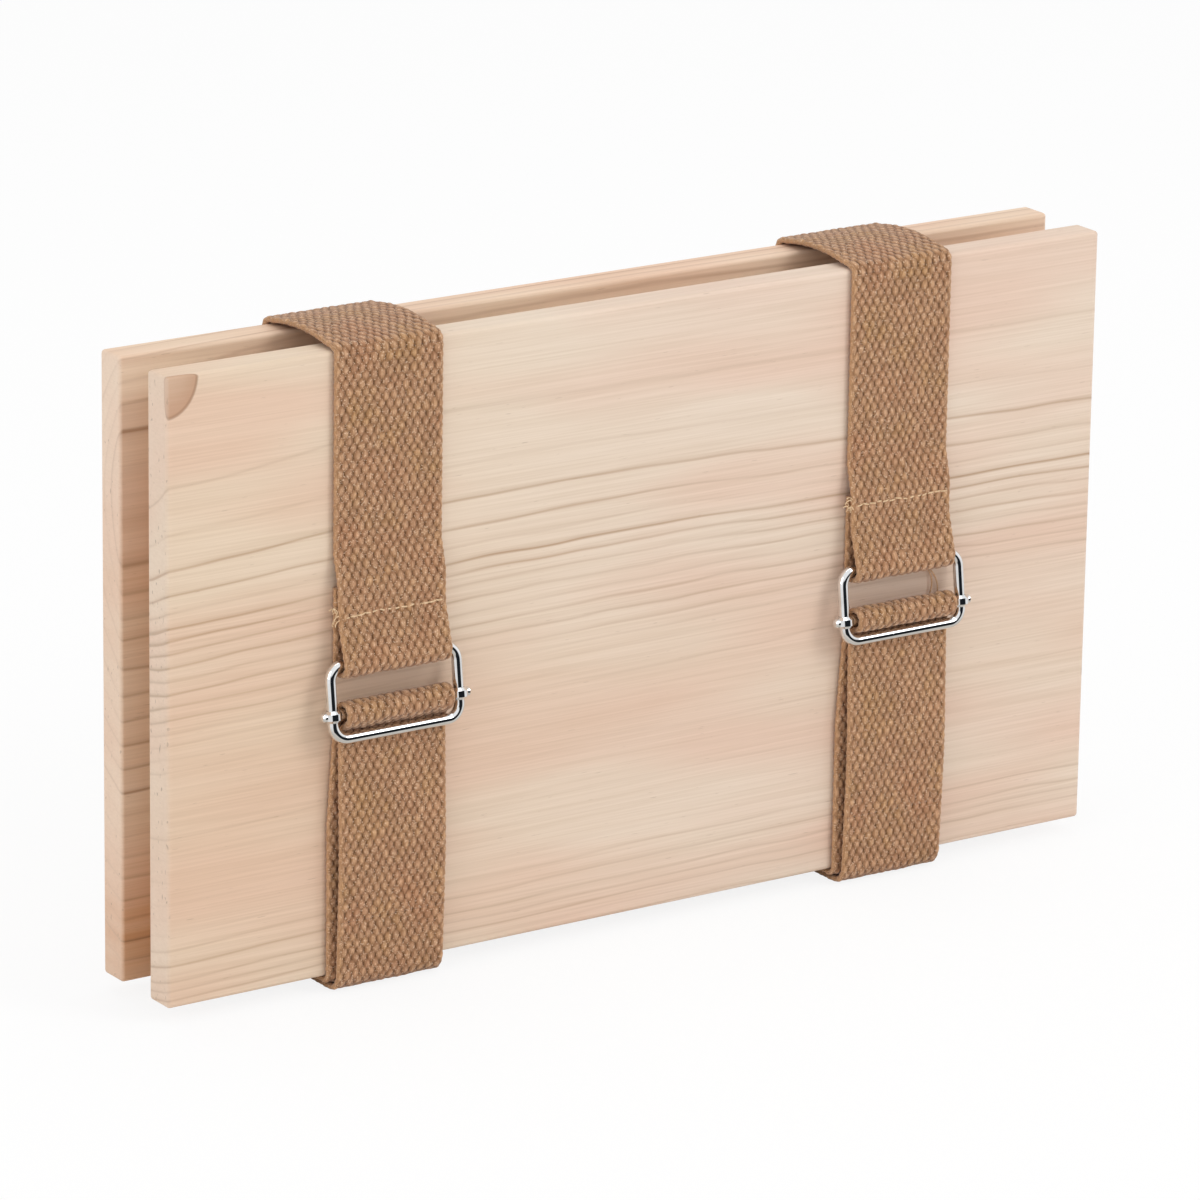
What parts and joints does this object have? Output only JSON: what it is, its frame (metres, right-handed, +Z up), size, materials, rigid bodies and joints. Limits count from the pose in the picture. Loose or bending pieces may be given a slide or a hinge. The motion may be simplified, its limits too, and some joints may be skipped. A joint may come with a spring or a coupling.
{
  "type": "flower press",
  "caption": "Flower press of pine boards that squeeze corrugated cards and blotting papers, drawn tight by webbing straps through wire slider buckles.",
  "frame": {"origin": "on the surface the press stands on, under the middle of its length and depth", "axes": "+X along the boards to the right seen from the buckles, +Y from the front board to the back board, +Z up"},
  "size_m": [0.28, 0.0444, 0.1678],
  "materials": {
    "pine": "planed bare pine, satin",
    "cotton_webbing": "coarse plain-woven tan cotton webbing",
    "plated_wire": "bright nickel-plated steel wire",
    "corrugated_card": "plain brown corrugated card",
    "blotting_paper": "soft white blotting paper"
  },
  "bodies": {
    "back_board": {"back_board": "pine", "left_strap": "cotton_webbing", "right_strap": "cotton_webbing"},
    "front_board": {"front_board": "pine"},
    "card_1": {"card_1": "corrugated_card"},
    "blotter_1": {"blotter_1": "blotting_paper"},
    "blotter_2": {"blotter_2": "blotting_paper"},
    "card_2": {"card_2": "corrugated_card"},
    "blotter_3": {"blotter_3": "blotting_paper"},
    "blotter_4": {"blotter_4": "blotting_paper"},
    "card_3": {"card_3": "corrugated_card"},
    "blotter_5": {"blotter_5": "blotting_paper"},
    "blotter_6": {"blotter_6": "blotting_paper"},
    "card_4": {"card_4": "corrugated_card"},
    "blotter_7": {"blotter_7": "blotting_paper"},
    "blotter_8": {"blotter_8": "blotting_paper"},
    "card_5": {"card_5": "corrugated_card"},
    "left_buckle": {"left_buckle": "plated_wire"},
    "left_slider_bar": {"left_slider_bar": "plated_wire"},
    "right_buckle": {"right_buckle": "plated_wire"},
    "right_slider_bar": {"right_slider_bar": "plated_wire"}
  },
  "joints": [
    {"name": "press_slide", "type": "slide", "parent": "back_board", "child": "front_board", "axis": [0, -1, 0], "range_m": [0, 0.015], "deforming": ["left_strap", "right_strap"]},
    {"name": "card_1_slide", "type": "slide", "parent": "back_board", "child": "card_1", "axis": [0, -1, 0], "range_m": [0, 0.00108]},
    {"name": "blotter_1_slide", "type": "slide", "parent": "back_board", "child": "blotter_1", "axis": [0, -1, 0], "range_m": [0, 0.00215]},
    {"name": "blotter_2_slide", "type": "slide", "parent": "back_board", "child": "blotter_2", "axis": [0, -1, 0], "range_m": [0, 0.00322]},
    {"name": "card_2_slide", "type": "slide", "parent": "back_board", "child": "card_2", "axis": [0, -1, 0], "range_m": [0, 0.0043]},
    {"name": "blotter_3_slide", "type": "slide", "parent": "back_board", "child": "blotter_3", "axis": [0, -1, 0], "range_m": [0, 0.00537]},
    {"name": "blotter_4_slide", "type": "slide", "parent": "back_board", "child": "blotter_4", "axis": [0, -1, 0], "range_m": [0, 0.00644]},
    {"name": "card_3_slide", "type": "slide", "parent": "back_board", "child": "card_3", "axis": [0, -1, 0], "range_m": [0, 0.00751]},
    {"name": "blotter_5_slide", "type": "slide", "parent": "back_board", "child": "blotter_5", "axis": [0, -1, 0], "range_m": [0, 0.00858]},
    {"name": "blotter_6_slide", "type": "slide", "parent": "back_board", "child": "blotter_6", "axis": [0, -1, 0], "range_m": [0, 0.00965]},
    {"name": "card_4_slide", "type": "slide", "parent": "back_board", "child": "card_4", "axis": [0, -1, 0], "range_m": [0, 0.01072]},
    {"name": "blotter_7_slide", "type": "slide", "parent": "back_board", "child": "blotter_7", "axis": [0, -1, 0], "range_m": [0, 0.0118]},
    {"name": "blotter_8_slide", "type": "slide", "parent": "back_board", "child": "blotter_8", "axis": [0, -1, 0], "range_m": [0, 0.01287]},
    {"name": "card_5_slide", "type": "slide", "parent": "back_board", "child": "card_5", "axis": [0, -1, 0], "range_m": [0, 0.01394]},
    {"name": "left_buckle_lift", "type": "hinge", "parent": "front_board", "child": "left_buckle", "pos_m": [-0.078, -0.01699, 0.08585], "axis": [-1, 0, 0], "range_deg": [0, 35], "deforming": ["left_strap"]},
    {"name": "left_bar_slide", "type": "slide", "parent": "left_buckle", "child": "left_slider_bar", "axis": [0, 0.1277, 0.9918], "range_m": [-0.0008, 0.0045], "deforming": ["left_strap"]},
    {"name": "right_buckle_lift", "type": "hinge", "parent": "front_board", "child": "right_buckle", "pos_m": [0.076, -0.01699, 0.08585], "axis": [-1, 0, 0], "range_deg": [0, 35], "deforming": ["right_strap"]},
    {"name": "right_bar_slide", "type": "slide", "parent": "right_buckle", "child": "right_slider_bar", "axis": [0, 0.1277, 0.9918], "range_m": [-0.0004, 0.0045], "deforming": ["right_strap"]}
  ],
  "couplings": [
    {"joint": "card_1_slide", "follows": "press_slide", "ratio": 0.071429},
    {"joint": "blotter_1_slide", "follows": "press_slide", "ratio": 0.14286},
    {"joint": "blotter_2_slide", "follows": "press_slide", "ratio": 0.21429},
    {"joint": "card_2_slide", "follows": "press_slide", "ratio": 0.28571},
    {"joint": "blotter_3_slide", "follows": "press_slide", "ratio": 0.35714},
    {"joint": "blotter_4_slide", "follows": "press_slide", "ratio": 0.42857},
    {"joint": "card_3_slide", "follows": "press_slide", "ratio": 0.5},
    {"joint": "blotter_5_slide", "follows": "press_slide", "ratio": 0.57143},
    {"joint": "blotter_6_slide", "follows": "press_slide", "ratio": 0.64286},
    {"joint": "card_4_slide", "follows": "press_slide", "ratio": 0.71429},
    {"joint": "blotter_7_slide", "follows": "press_slide", "ratio": 0.78571},
    {"joint": "blotter_8_slide", "follows": "press_slide", "ratio": 0.85714},
    {"joint": "card_5_slide", "follows": "press_slide", "ratio": 0.92857}
  ]
}
